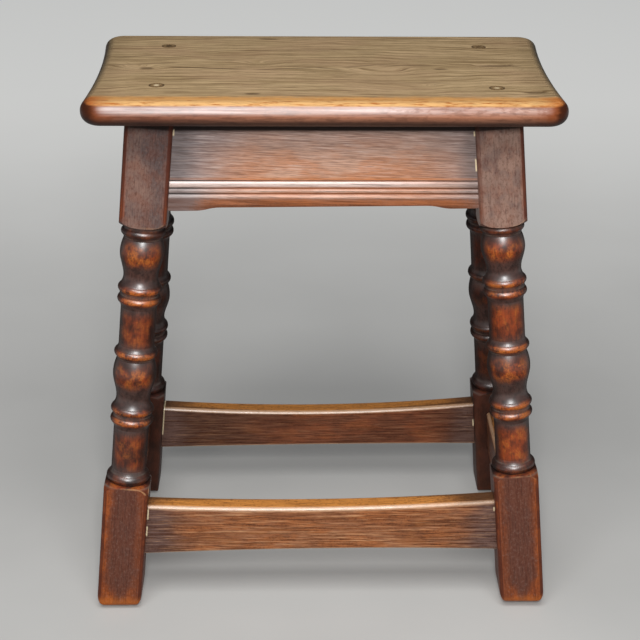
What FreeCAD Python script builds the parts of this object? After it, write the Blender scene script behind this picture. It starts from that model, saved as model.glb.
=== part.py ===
import FreeCAD, Part
import math
import os
from FreeCAD import Placement, Rotation, Vector

os.makedirs("parts", exist_ok=True)

# Joint stool in oak. Millimetres, +X along the seat, +Y to the back, +Z up.
# The origin is on the floor under the middle of the seat.

# Seat board
STOOL_HEIGHT = 473.0
SEAT_LENGTH = 391.6
SEAT_WIDTH = 215.0
SEAT_THICKNESS = 20.0
SEAT_CORNER_RADIUS = 17.0
SEAT_EDGE_ROUND = 9.6
SEAT_EDGE_FLAT = 0.8
SEAT_END_HOLLOW = 5.5

# Legs: square blocks at the head and the foot with a turned length between them
BLOCK_WIDTH = 39.6
BLOCK_ARRIS = 4.0
FRONT_FOOT_SIDE_ROUND = 11.0
BACK_FOOT_SIDE_ROUND = 3.0
FOOT_EDGE_ROUND = 4.5
END_OVERHANG = 34.7
SIDE_OVERHANG = 32.7
SPLAY_DEGREES = 5.4
HEAD_BLOCK_LENGTH = 97.6
POMMEL_RISE = 9.5
POMMEL_SHOULDER_RADIUS = 22.5
POMMEL_SHOULDER_DROP = 1.6

# Turned members, named from the head down
QUIRK_RADIUS = 17.0
NECK_QUIRK_HEIGHT = 3.4
NECK_BEAD_RADIUS = 18.9
NECK_BEAD_HEIGHT = 6.0
NECK_GAP = 2.6
NOTCH_RADIUS = 16.2
BULB_RADIUS = 18.7
WAIST_RADIUS = 14.7
UPPER_VASE_HEIGHT = 41.3
LOWER_VASE_HEIGHT = 44.2
RING_RADIUS = 18.8
RING_HEIGHT = 6.2
RING_GROOVE_WIDTH = 3.8
COLUMN_RADIUS = 15.4
COLUMN_COVE_HEIGHT = 4.2
UPPER_COLUMN_LENGTH = 42.6
LOWER_COLUMN_LENGTH = 48.2
COLLAR_RADIUS = 19.2
COLLAR_HEIGHT = 8.0

# Heights along a vase from its notch to its ring, and how full it is there
VASE_SHOULDER_SHARES = (0.14, 0.70)
VASE_CREST_SHARE = 0.36
VASE_TAPER_SHARES = (0.61, 0.62)
VASE_WAIST_SHARE = 0.83
COVE_DEPTH_SHARE = 0.3

# Each leg was marked out by hand, so its members sit a little higher than the lowest leg's.
# The shares are for the head block, the neck, the upper rings, the single ring, the lower rings
# and the collar.
MARKING_SLIP = 7.5
MARKING_SLIP_SHARES = {
    "front_left": (0.0, 0.0, 0.0, 0.0, 0.0, 0.0),
    "front_right": (0.24, 0.66, 1.0, 0.9, 0.88, 1.5),
    "back_left": (0.6, 0.8, 0.9, 0.6, 0.55, 0.2),
    "back_right": (1.4, 1.75, 1.85, 1.5, 0.95, 0.73),
}

# Aprons
APRON_HEIGHT = 77.7
APRON_THICKNESS = 20.0
APRON_SETBACK = 4.0
APRON_RAISE = 2.6
FRONT_APRON_FALL = 2.8
# Straight foot and S-sweep at an apron's ends, as shares of half the clear length between its legs
LONG_APRON_SWEEP_SHARES = (0.144, 0.176)
SHORT_APRON_SWEEP_SHARES = (0.21, 0.37)
APRON_ARRIS = 0.8

# Run moulding on each apron's face, measured up from its lower edge
MOULDING_DEPTH = 1.6
LOWER_BAND_HEIGHT = 8.3
OVOLO_HEIGHT = 3.7
SMALL_REED_HEIGHT = 4.6
LARGE_REED_HEIGHT = 6.4
REED_SINK = 0.3
OVOLO_CREST_SHARES = (0.62, 0.28)
MOULDING_RETURN = 0.8

# Stretchers
STRETCHER_FOOT_CLEARANCE = 47.0
STRETCHER_HEIGHT = 57.0
STRETCHER_THICKNESS = 18.8
STRETCHER_SETBACK = 9.0
STRETCHER_TOP_ARRIS = 4.2
STRETCHER_LOWER_ARRIS = 2.2
# How far each top is worn down at its left or front end, its middle and its other end
FRONT_STRETCHER_WEAR = (6.6, 10.0, 1.6)
BACK_STRETCHER_WEAR = (5.2, 11.8, 0.1)
SIDE_STRETCHER_WEAR = (5.0, 6.5, 5.0)
# How far each lower edge rises above the stretchers' lowest height, at the same three places
FRONT_STRETCHER_LIFT = (0.3, 5.6, 4.2)
BACK_STRETCHER_LIFT = (1.2, 4.9, 6.0)
SIDE_STRETCHER_LIFT = (4.0, 5.0, 4.0)

# Mortise and tenon joints
TENON_THICKNESS = 8.0
TENON_TOP_SHOULDER = 24.0
TENON_BOTTOM_SHOULDER = 8.0
STRETCHER_TENON_SHOULDER = 10.0
TENON_WEB = 3.0
JOINT_CLEARANCE = 0.15
TENON_END_GAP = 1.0

# Seat pegs, driven down through the board into the legs' heads
PEG_RADIUS = 6.3
PEG_DEPTH_IN_LEG = 18.0
PEG_CLEARANCE = 0.15
# Where each peg stands off its leg's middle, inwards and outwards, as shares of the block
PEG_PLACE_SHARES = {
    "front_left": (0.13, -0.01),
    "front_right": (0.03, 0.13),
    "back_left": (0.16, 0.25),
    "back_right": (0.06, 0.25),
}

# Nail-on glides under the feet, a thicker one under the leg that is short
GLIDE_RADIUS = 9.5
GLIDE_THICKNESS = 3.0
THICK_GLIDE_THICKNESS = 5.6
SHORT_LEG = "front_right"
GLIDE_ROUND = 0.9
NAIL_RADIUS = 1.1
NAIL_LENGTH_IN_LEG = 14.0
NAIL_HEAD_RADIUS = 3.2
NAIL_HEAD_THICKNESS = 1.1
NAIL_HEAD_RECESS = 0.4
NAIL_CLEARANCE = 0.05

# One overrun serves every cut
OVERRUN = 12.0

UNDERSIDE = STOOL_HEIGHT - SEAT_THICKNESS
SPLAY = math.radians(SPLAY_DEGREES)
SLOPE = math.tan(SPLAY)
HALF_BLOCK = BLOCK_WIDTH / 2
BLOCK_CORNER = HALF_BLOCK * math.sqrt(2)
HEAD_X = SEAT_LENGTH / 2 - END_OVERHANG - HALF_BLOCK
HEAD_Y = SEAT_WIDTH / 2 - SIDE_OVERHANG - HALF_BLOCK
Z_AXIS = Vector(0, 0, 1)

CORNERS = {
    "front_left": (-1, -1),
    "front_right": (1, -1),
    "back_left": (-1, 1),
    "back_right": (1, 1),
}

# Each side of the frame: its outward direction and the two legs it joins
SIDES = {
    "front": (Vector(0, -1, 0), ("front_left", "front_right")),
    "back": (Vector(0, 1, 0), ("back_left", "back_right")),
    "left": (Vector(-1, 0, 0), ("front_left", "back_left")),
    "right": (Vector(1, 0, 0), ("front_right", "back_right")),
}


def save(shape, name):
    """Writes one node."""
    shape.exportStep("parts/" + name + ".step")


def slab(low, high):
    """A wide level slab between two heights, for trimming."""
    reach = SEAT_LENGTH + SEAT_WIDTH
    corner = Vector(-reach, -reach, low)
    return Part.makeBox(2 * reach, 2 * reach, high - low, corner)


def solid_of(shape):
    """The single solid that a cut or a join leaves."""
    return max(shape.Solids, key=lambda solid: solid.Volume)


# Seat board


def seat_outline():
    """Plan of the board: straight long edges and hollow ends."""
    x = SEAT_LENGTH / 2
    y = SEAT_WIDTH / 2
    hollow = x - SEAT_END_HOLLOW
    edges = [
        Part.LineSegment(Vector(-x, -y, 0), Vector(x, -y, 0)).toShape(),
        Part.Arc(Vector(x, -y, 0), Vector(hollow, 0, 0), Vector(x, y, 0)).toShape(),
        Part.LineSegment(Vector(x, y, 0), Vector(-x, y, 0)).toShape(),
        Part.Arc(Vector(-x, y, 0), Vector(-hollow, 0, 0), Vector(-x, -y, 0)).toShape(),
    ]
    return Part.Face(Part.Wire(edges))


def seat_board():
    """The board with rounded corners, a bullnose all round and its four peg holes."""
    board = seat_outline()
    board.translate(Z_AXIS * UNDERSIDE)
    board = board.extrude(Z_AXIS * SEAT_THICKNESS)
    upright = [edge for edge in board.Edges if edge.BoundBox.ZLength > SEAT_THICKNESS / 2]
    board = board.makeFillet(SEAT_CORNER_RADIUS, upright)
    half_nose = (SEAT_THICKNESS - SEAT_EDGE_FLAT) / 2
    rounding = min(SEAT_EDGE_ROUND, half_nose, SEAT_CORNER_RADIUS - SEAT_EDGE_FLAT)
    rims = [edge for edge in board.Edges if edge.BoundBox.ZLength < SEAT_THICKNESS / 2]
    board = board.makeFillet(rounding, rims)
    for corner in CORNERS:
        board = board.cut(peg_shape(corner, PEG_CLEARANCE, OVERRUN))
    return solid_of(board)


# Legs


def leg_placement(corner):
    """Stands a leg's own frame, origin on its axis at the seat, with the splay both ways."""
    sx, sy = CORNERS[corner]
    sideways = Rotation(Vector(0, 1, 0), -sx * SPLAY_DEGREES)
    lengthways = Rotation(Vector(1, 0, 0), sy * SPLAY_DEGREES)
    return Placement(Vector(sx * HEAD_X, sy * HEAD_Y, UNDERSIDE), sideways * lengthways)


def leg_length():
    """Length along a leg's axis from the seat to the bottom of the longest foot."""
    return (UNDERSIDE - GLIDE_THICKNESS) * math.sqrt(1 + 2 * SLOPE ** 2)


def glide_thickness(corner):
    """How far a glide lifts its foot off the floor."""
    return THICK_GLIDE_THICKNESS if corner == SHORT_LEG else GLIDE_THICKNESS


def square_blank(corner):
    """The square length that a leg is made from, running past both ends."""
    low = -leg_length() - OVERRUN
    low_corner = Vector(-HALF_BLOCK, -HALF_BLOCK, low)
    blank = Part.makeBox(BLOCK_WIDTH, BLOCK_WIDTH, OVERRUN - low, low_corner)
    blank.Placement = leg_placement(corner)
    return blank


class Outline:
    """Joins the edges of a turned outline down a leg, at radius r and depth d below the seat."""

    def __init__(self, r, d):
        self.edges = []
        self.r = r
        self.d = d

    def point(self, r, d):
        return Vector(r, 0, -d)

    def close_edge(self, edge, r, d):
        self.edges.append(edge.toShape())
        self.r = r
        self.d = d

    def line(self, r, d):
        start = self.point(self.r, self.d)
        self.close_edge(Part.LineSegment(start, self.point(r, d)), r, d)

    def arc(self, r_mid, d_mid, r, d):
        start = self.point(self.r, self.d)
        self.close_edge(Part.Arc(start, self.point(r_mid, d_mid), self.point(r, d)), r, d)

    def curve(self, places):
        points = [self.point(self.r, self.d)] + [self.point(r, d) for r, d in places]
        spline = Part.BSplineCurve()
        spline.interpolate(points)
        r, d = places[-1]
        self.close_edge(spline, r, d)

    def bead(self, crest, height):
        """A rounded bead or ring that starts and ends at the same radius."""
        self.arc(crest, self.d + height / 2, self.r, self.d + height)

    def cove(self, r, height):
        """A small hollow from the present radius to another one."""
        share = COVE_DEPTH_SHARE if r > self.r else 1 - COVE_DEPTH_SHARE
        middle_r = self.r + (r - self.r) * share
        self.arc(middle_r, self.d + height / 2, r, self.d + height)

    def vase(self, height):
        """A full bulb that tapers to a waist and flares out again to a ring."""
        full = BULB_RADIUS - NOTCH_RADIUS
        slim = BULB_RADIUS - WAIST_RADIUS
        shoulder, shoulder_full = VASE_SHOULDER_SHARES
        taper, taper_slim = VASE_TAPER_SHARES
        top = self.d
        self.curve([
            (NOTCH_RADIUS + shoulder_full * full, top + shoulder * height),
            (BULB_RADIUS, top + VASE_CREST_SHARE * height),
            (BULB_RADIUS - taper_slim * slim, top + taper * height),
            (WAIST_RADIUS, top + VASE_WAIST_SHARE * height),
            (QUIRK_RADIUS, top + height),
        ])

    def ring_pair(self):
        """Two rings with a groove between them."""
        self.bead(RING_RADIUS, RING_HEIGHT)
        self.line(QUIRK_RADIUS, self.d + RING_GROOVE_WIDTH)
        self.bead(RING_RADIUS, RING_HEIGHT)

    def column(self, length):
        """A plain column with a cove at each end."""
        self.cove(COLUMN_RADIUS, COLUMN_COVE_HEIGHT)
        self.line(COLUMN_RADIUS, self.d + length - 2 * COLUMN_COVE_HEIGHT)
        self.cove(QUIRK_RADIUS, COLUMN_COVE_HEIGHT)


def turned_envelope(corner):
    """Everything that the lathe leaves: wide at the blocks, the turned members between."""
    head, neck, upper, single, lower, collar = MARKING_SLIP_SHARES[corner]
    top = HEAD_BLOCK_LENGTH - MARKING_SLIP * head
    bottom = leg_length() + OVERRUN
    wide = BLOCK_CORNER + OVERRUN
    rest = Outline(0, -OVERRUN)
    rest.line(wide, -OVERRUN)
    rest.line(wide, top - POMMEL_RISE)
    rest.line(BLOCK_CORNER, top - POMMEL_RISE)
    rest.arc(POMMEL_SHOULDER_RADIUS, top - POMMEL_SHOULDER_DROP, QUIRK_RADIUS, top)
    rest.line(QUIRK_RADIUS, top + NECK_QUIRK_HEIGHT + MARKING_SLIP * (head - neck))
    rest.bead(NECK_BEAD_RADIUS, NECK_BEAD_HEIGHT)
    rest.line(NOTCH_RADIUS, rest.d + NECK_GAP)
    rest.vase(UPPER_VASE_HEIGHT + MARKING_SLIP * (neck - upper))
    rest.ring_pair()
    rest.column(UPPER_COLUMN_LENGTH + MARKING_SLIP * (upper - single))
    rest.bead(RING_RADIUS, RING_HEIGHT)
    rest.line(NOTCH_RADIUS, rest.d + NECK_GAP)
    rest.vase(LOWER_VASE_HEIGHT + MARKING_SLIP * (single - lower))
    rest.ring_pair()
    rest.column(LOWER_COLUMN_LENGTH + MARKING_SLIP * (lower - collar))
    rest.bead(COLLAR_RADIUS, COLLAR_HEIGHT)
    foot_top = rest.d
    block_top = foot_top + POMMEL_RISE
    rest.arc(POMMEL_SHOULDER_RADIUS, foot_top + POMMEL_SHOULDER_DROP, BLOCK_CORNER, block_top)
    rest.line(wide, block_top)
    rest.line(wide, bottom)
    rest.line(0, bottom)
    rest.line(0, -OVERRUN)
    face = Part.Face(Part.Wire(rest.edges))
    envelope = face.revolve(Vector(0, 0, 0), Z_AXIS, 360)
    envelope.Placement = leg_placement(corner)
    return envelope


def eased_square(corner):
    """The square length trimmed level at both ends, its arrises and the foot's edges rounded."""
    square = solid_of(square_blank(corner).common(slab(glide_thickness(corner), UNDERSIDE)))
    foot_line = glide_thickness(corner) + BLOCK_ARRIS
    long_edges = [edge for edge in square.Edges if edge.BoundBox.ZLength > UNDERSIDE / 2]
    foot_edges = [edge for edge in square.Edges if edge.BoundBox.ZMax < foot_line]
    across = [edge for edge in foot_edges if edge.BoundBox.XLength > HALF_BLOCK]
    along = [edge for edge in foot_edges if edge.BoundBox.YLength > HALF_BLOCK]
    eased = square.makeFillet(BLOCK_ARRIS, long_edges)
    side_round = FRONT_FOOT_SIDE_ROUND if CORNERS[corner][1] < 0 else BACK_FOOT_SIDE_ROUND
    for rounding, pair in ((FOOT_EDGE_ROUND, across), (side_round, along)):
        eased = eased.common(square.makeFillet(min(rounding, HALF_BLOCK - BLOCK_ARRIS), pair))
    return eased


def leg(corner):
    """One leg: squared and eased, turned, mortised and bored."""
    shape = eased_square(corner)
    shape = shape.common(turned_envelope(corner))
    for side, (outward, legs) in SIDES.items():
        if corner in legs:
            shape = shape.cut(tenon("apron", side, corner, JOINT_CLEARANCE, TENON_END_GAP))
            shape = shape.cut(tenon("stretcher", side, corner, JOINT_CLEARANCE, TENON_END_GAP))
    shape = shape.cut(peg_shape(corner, PEG_CLEARANCE, TENON_END_GAP))
    shape = shape.cut(nail_shank(corner, NAIL_CLEARANCE, TENON_END_GAP))
    return solid_of(shape)


# Rails: aprons under the seat and stretchers near the floor


def face_offset(side, z):
    """How far the outer faces of a side's legs stand from the middle at a height."""
    outward = SIDES[side][0]
    head = HEAD_X if outward.x else HEAD_Y
    return head + SLOPE * (UNDERSIDE - z) + HALF_BLOCK / math.cos(SPLAY)


def side_point(side, along, out, z):
    """A point given along a side, outwards from the middle and up."""
    outward = SIDES[side][0]
    run = Vector(abs(outward.y), abs(outward.x), 0)
    return run * along + outward * out + Z_AXIS * z


def rail_band(kind):
    """Lower and upper height of a rail at its ends."""
    if kind == "apron":
        return UNDERSIDE - APRON_HEIGHT, UNDERSIDE
    low = GLIDE_THICKNESS + STRETCHER_FOOT_CLEARANCE
    return low, low + STRETCHER_HEIGHT


def rail_depths(kind):
    """Set-back from the legs' faces and thickness of a rail."""
    if kind == "apron":
        return APRON_SETBACK, APRON_THICKNESS
    return STRETCHER_SETBACK, STRETCHER_THICKNESS


def rail_reach(kind, side):
    """Half length of a rail before it is scribed: to the middle of its legs."""
    low, high = rail_band(kind)
    outward = SIDES[side][0]
    head = HEAD_Y if outward.x else HEAD_X
    return head + SLOPE * (UNDERSIDE - (low + high) / 2)


def moulding_edges(face):
    """The run moulding up an apron's face: ovolo, small reed, large reed."""
    low = rail_band("apron")[0]
    z = low + LOWER_BAND_HEIGHT
    crest_up, crest_in = OVOLO_CREST_SHARES
    sunk = MOULDING_DEPTH
    crest = face(crest_in * sunk, z + crest_up * OVOLO_HEIGHT)
    places = [face(0, z), crest, face(sunk, z + OVOLO_HEIGHT)]
    edges = [Part.Arc(*places).toShape()]
    z += OVOLO_HEIGHT
    for height in (SMALL_REED_HEIGHT, LARGE_REED_HEIGHT):
        places = [face(sunk, z), face(REED_SINK, z + height / 2), face(sunk, z + height)]
        edges.append(Part.Arc(*places).toShape())
        z += height
    edges.append(Part.LineSegment(face(sunk, z), face(0, z + MOULDING_RETURN)).toShape())
    return edges, z + MOULDING_RETURN


def rail_section(kind, side):
    """Upright section of a rail with leaning faces, run past its worn or sloping edges."""
    low, high = rail_band(kind)
    bottom = low - OVERRUN
    top = high if kind == "apron" else high + OVERRUN
    setback, thickness = rail_depths(kind)
    reach = rail_reach(kind, side)

    def face(depth, z):
        return side_point(side, -reach, face_offset(side, z) - setback - depth, z)

    back = thickness / math.cos(SPLAY)
    edges = []
    rise = bottom
    if kind == "apron":
        moulding, moulding_top = moulding_edges(face)
        edges.append(Part.LineSegment(face(0, bottom), face(0, low + LOWER_BAND_HEIGHT)).toShape())
        edges += moulding
        rise = moulding_top
    edges.append(Part.LineSegment(face(0, rise), face(0, top)).toShape())
    edges.append(Part.LineSegment(face(0, top), face(back, top)).toShape())
    edges.append(Part.LineSegment(face(back, top), face(back, bottom)).toShape())
    edges.append(Part.LineSegment(face(back, bottom), face(0, bottom)).toShape())
    return Part.Face(Part.Wire(edges))


def sweep(point, start, end):
    """An S-curve of two equal arcs between two places, level at both ends."""
    run = (end[0] - start[0]) / 2
    rise = (end[1] - start[1]) / 2
    radius = (run ** 2 + rise ** 2) / (2 * rise)
    half_turn = math.asin(run / radius) / 2
    ease_x = radius * math.sin(half_turn)
    ease_z = radius * (1 - math.cos(half_turn))
    middle = point(start[0] + run, start[1] + rise)
    first = Part.Arc(point(*start), point(start[0] + ease_x, start[1] + ease_z), middle)
    second = Part.Arc(middle, point(end[0] - ease_x, end[1] - ease_z), point(*end))
    return [first.toShape(), second.toShape()]


def apron_elevation(side, point):
    """Elevation of an apron: a straight foot at each end sweeping up to a raised middle."""
    low, high = rail_band("apron")
    raised = low + APRON_RAISE
    reach = rail_reach("apron", side)
    short = side in ("left", "right")
    clear = reach - HALF_BLOCK
    foot_share, sweep_share = SHORT_APRON_SWEEP_SHARES if short else LONG_APRON_SWEEP_SHARES
    foot = clear * (1 - foot_share)
    flat = foot - clear * sweep_share
    end = reach + OVERRUN
    edges = [Part.LineSegment(point(end, low), point(foot, low)).toShape()]
    edges += sweep(point, (foot, low), (flat, raised))
    edges.append(Part.LineSegment(point(flat, raised), point(-flat, raised)).toShape())
    edges += sweep(point, (-flat, raised), (-foot, low))
    edges.append(Part.LineSegment(point(-foot, low), point(-end, low)).toShape())
    edge_line = Part.Wire(edges)
    fall = FRONT_APRON_FALL if side == "front" else 0
    tilt = math.degrees(math.atan(fall / (2 * reach)))
    edge_line.rotate(point(reach, low), SIDES[side][0], tilt)
    near_end = edge_line.OrderedVertexes[0].Point
    far_end = edge_line.OrderedVertexes[-1].Point
    top = high + OVERRUN
    ends = [far_end, point(-end, top), point(end, top), near_end]
    return edge_line.OrderedEdges + Part.makePolygon(ends).Edges


def stretcher_elevation(side, point):
    """Elevation of a stretcher: top worn hollow by feet, lower edge not planed quite straight."""
    low, high = rail_band("stretcher")
    reach = rail_reach("stretcher", side)
    long_wear = {"front": FRONT_STRETCHER_WEAR, "back": BACK_STRETCHER_WEAR}
    long_lift = {"front": FRONT_STRETCHER_LIFT, "back": BACK_STRETCHER_LIFT}
    wear = long_wear.get(side, SIDE_STRETCHER_WEAR)
    lift = long_lift.get(side, SIDE_STRETCHER_LIFT)
    spots = (-reach, 0, reach)
    top = [point(spot, high - worn) for spot, worn in zip(spots, wear)]
    foot = [point(spot, low + rise) for spot, rise in zip(spots, lift)]
    edges = [Part.Arc(*top), Part.LineSegment(top[2], foot[2])]
    edges += [Part.Arc(*reversed(foot)), Part.LineSegment(foot[0], top[0])]
    return [edge.toShape() for edge in edges]


def rail_body(kind, side):
    """A rail's moulded length, its long arrises eased, before its ends are made."""
    setback, thickness = rail_depths(kind)
    low, high = rail_band(kind)
    outward = SIDES[side][0]
    reach = rail_reach(kind, side)
    run = side_point(side, 1, 0, 0)
    section = rail_section(kind, side).extrude(run * (2 * reach))
    inner = face_offset(side, high) - setback - thickness - 2 * OVERRUN

    def point(along, z):
        return side_point(side, along, inner, z)

    elevation_of = apron_elevation if kind == "apron" else stretcher_elevation
    outline = elevation_of(side, point)
    depth = thickness + SLOPE * (high - low) + 4 * OVERRUN
    elevation = Part.Face(Part.Wire(outline)).extrude(outward * depth)
    body = solid_of(section.common(elevation))
    return ease_arrises(body, kind, side)


def ease_arrises(body, kind, side):
    """Rounds a rail's long arrises: a stretcher's worn top ones most, and an apron's lower two."""
    low, high = rail_band(kind)
    reach = rail_reach(kind, side)
    run = side_point(side, 1, 0, 0)
    middle = (low + high) / 2
    upper = []
    lower = []
    for edge in body.Edges:
        box = edge.BoundBox
        along = abs(run.x) * box.XLength + abs(run.y) * box.YLength
        across = abs(run.y) * box.XLength + abs(run.x) * box.YLength
        if kind == "stretcher" and along > reach:
            (upper if box.ZMin > middle else lower).append(edge)
        if kind == "apron" and box.ZMax < low + LOWER_BAND_HEIGHT / 2 and along > across:
            lower.append(edge)
    if kind == "apron":
        return body.makeFillet(APRON_ARRIS, lower)
    eased = body.makeFillet(STRETCHER_TOP_ARRIS, upper)
    return eased.common(body.makeFillet(STRETCHER_LOWER_ARRIS, lower))


def tenon_length(kind):
    """How deep a tenon goes, leaving a web before the one that comes from the other side."""
    setback, thickness = rail_depths(kind)
    other = BLOCK_WIDTH - setback - thickness / 2 - TENON_THICKNESS / 2
    return other - TENON_WEB - TENON_END_GAP


def tenon(kind, side, corner, clearance, end_gap):
    """A tenon at one leg, or with clearance the mortise for it. It runs back into its rail."""
    low, high = rail_band(kind)
    setback, thickness = rail_depths(kind)
    if kind == "apron":
        bottom = low + TENON_BOTTOM_SHOULDER - clearance
        top = high - TENON_TOP_SHOULDER + clearance
    else:
        bottom = low + STRETCHER_TENON_SHOULDER - clearance
        top = high - STRETCHER_TENON_SHOULDER + clearance
    slant = 1 / math.cos(SPLAY)
    outer = (setback + (thickness - TENON_THICKNESS) / 2 - clearance) * slant
    inner = (setback + (thickness + TENON_THICKNESS) / 2 + clearance) * slant
    reach = rail_reach(kind, side) + BLOCK_WIDTH

    def place(depth, z):
        return side_point(side, -reach, face_offset(side, z) - depth, z)

    corners = [place(outer, bottom), place(outer, top), place(inner, top), place(inner, bottom)]
    section = Part.Face(Part.makePolygon(corners + corners[:1]))
    bar = section.extrude(side_point(side, 2 * reach, 0, 0))
    return solid_of(bar.common(tenon_zone(side, corner, tenon_length(kind) + end_gap)))


def tenon_zone(side, corner, depth):
    """The layer of a leg that a side's tenon may enter, with an overrun into the rail."""
    sx, sy = CORNERS[corner]
    along_x = SIDES[side][0].x == 0
    sign = sx if along_x else sy
    start = -HALF_BLOCK - OVERRUN if sign > 0 else HALF_BLOCK - depth
    height = leg_length() + 2 * OVERRUN
    low_x, low_y = (start, -BLOCK_WIDTH) if along_x else (-BLOCK_WIDTH, start)
    size_x = depth + OVERRUN if along_x else 2 * BLOCK_WIDTH
    size_y = 2 * BLOCK_WIDTH if along_x else depth + OVERRUN
    zone = Part.makeBox(size_x, size_y, height + OVERRUN, Vector(low_x, low_y, -height))
    zone.Placement = leg_placement(corner)
    return zone


def rail(kind, side):
    """A finished rail: shoulders scribed to its two leaning legs, and its two tenons."""
    shape = rail_body(kind, side)
    for corner in SIDES[side][1]:
        shape = shape.cut(square_blank(corner))
    shape = solid_of(shape)
    for corner in SIDES[side][1]:
        shape = shape.fuse(tenon(kind, side, corner, 0, 0))
    return solid_of(shape.removeSplitter())


# Seat pegs, glides and nails


def peg_centre(corner):
    """Where a peg stands on the seat."""
    sx, sy = CORNERS[corner]
    inwards, outwards = PEG_PLACE_SHARES[corner]
    return sx * (HEAD_X - inwards * BLOCK_WIDTH), sy * (HEAD_Y + outwards * BLOCK_WIDTH)


def peg_shape(corner, clearance, over):
    """A round peg flush with the seat, or with clearance the hole for it."""
    x, y = peg_centre(corner)
    low = UNDERSIDE - PEG_DEPTH_IN_LEG - (over if clearance else 0)
    high = STOOL_HEIGHT + (OVERRUN if clearance else 0)
    return Part.makeCylinder(PEG_RADIUS + clearance, high - low, Vector(x, y, low))


def foot_centre(corner):
    """Middle of a leg's foot."""
    sx, sy = CORNERS[corner]
    top = leg_placement(corner)
    axis = top.Rotation.multVec(Z_AXIS)
    drop = UNDERSIDE - GLIDE_THICKNESS
    return top.Base - axis * (drop / axis.z)


def glide(corner):
    """A plastic disc under a foot, eased below and recessed for its nail's head."""
    centre = foot_centre(corner)
    base = Vector(centre.x, centre.y, 0)
    disc = Part.makeCylinder(GLIDE_RADIUS, glide_thickness(corner), base)
    low_edges = [edge for edge in disc.Edges if edge.BoundBox.ZMax < GLIDE_ROUND]
    rim = [edge for edge in low_edges if len(edge.Vertexes) == 1]
    disc = disc.makeFillet(min(GLIDE_ROUND, GLIDE_THICKNESS / 2), rim)
    recess = NAIL_HEAD_RECESS + NAIL_HEAD_THICKNESS + OVERRUN
    below = base - Z_AXIS * OVERRUN
    bore = glide_thickness(corner) + OVERRUN
    disc = disc.cut(Part.makeCylinder(NAIL_HEAD_RADIUS + NAIL_CLEARANCE, recess, below))
    disc = disc.cut(Part.makeCylinder(NAIL_RADIUS + NAIL_CLEARANCE, bore, base))
    return solid_of(disc)


def nail_shank(corner, clearance, end_gap):
    """A nail's shank up into the foot, or with clearance the hole for it."""
    centre = foot_centre(corner)
    base = Vector(centre.x, centre.y, NAIL_HEAD_RECESS + NAIL_HEAD_THICKNESS)
    top = glide_thickness(corner) + NAIL_LENGTH_IN_LEG + end_gap
    return Part.makeCylinder(NAIL_RADIUS + clearance, top - base.z, base)


def glide_nail(corner):
    """The steel nail that holds a glide, its head up in the glide's recess."""
    centre = foot_centre(corner)
    base = Vector(centre.x, centre.y, NAIL_HEAD_RECESS)
    head = Part.makeCylinder(NAIL_HEAD_RADIUS, NAIL_HEAD_THICKNESS, base)
    return solid_of(head.fuse(nail_shank(corner, 0, 0)).removeSplitter())


save(seat_board(), "seat_board")
for name in CORNERS:
    save(leg(name), "leg_" + name)
    save(peg_shape(name, 0, 0), "seat_peg_" + name)
    save(glide(name), "glide_" + name)
    save(glide_nail(name), "glide_nail_" + name)
for name in SIDES:
    save(rail("apron", name), "apron_" + name)
    save(rail("stretcher", name), "stretcher_" + name)
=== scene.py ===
import math

import bpy
from mathutils import Matrix, Vector

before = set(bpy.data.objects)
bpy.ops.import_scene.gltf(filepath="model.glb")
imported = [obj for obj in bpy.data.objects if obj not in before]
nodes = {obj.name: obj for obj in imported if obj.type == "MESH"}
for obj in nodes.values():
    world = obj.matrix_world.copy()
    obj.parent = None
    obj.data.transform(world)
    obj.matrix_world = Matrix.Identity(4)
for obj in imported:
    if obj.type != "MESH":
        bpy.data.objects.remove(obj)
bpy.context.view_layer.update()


# Legs
# Four oak legs, turned between square blocks, set leaning outwards both ways and pegged to the seat.
# The oak is stained dark and waxed. Hands and feet have worn rings, bulbs and arrises back to
# orange, and old wax has gone grey and dusty in the quirks. Some light and shade is painted in as
# well: sheen in the hollows, the lit front, dark sides, the seat's shadow and the shaded back legs.

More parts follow.
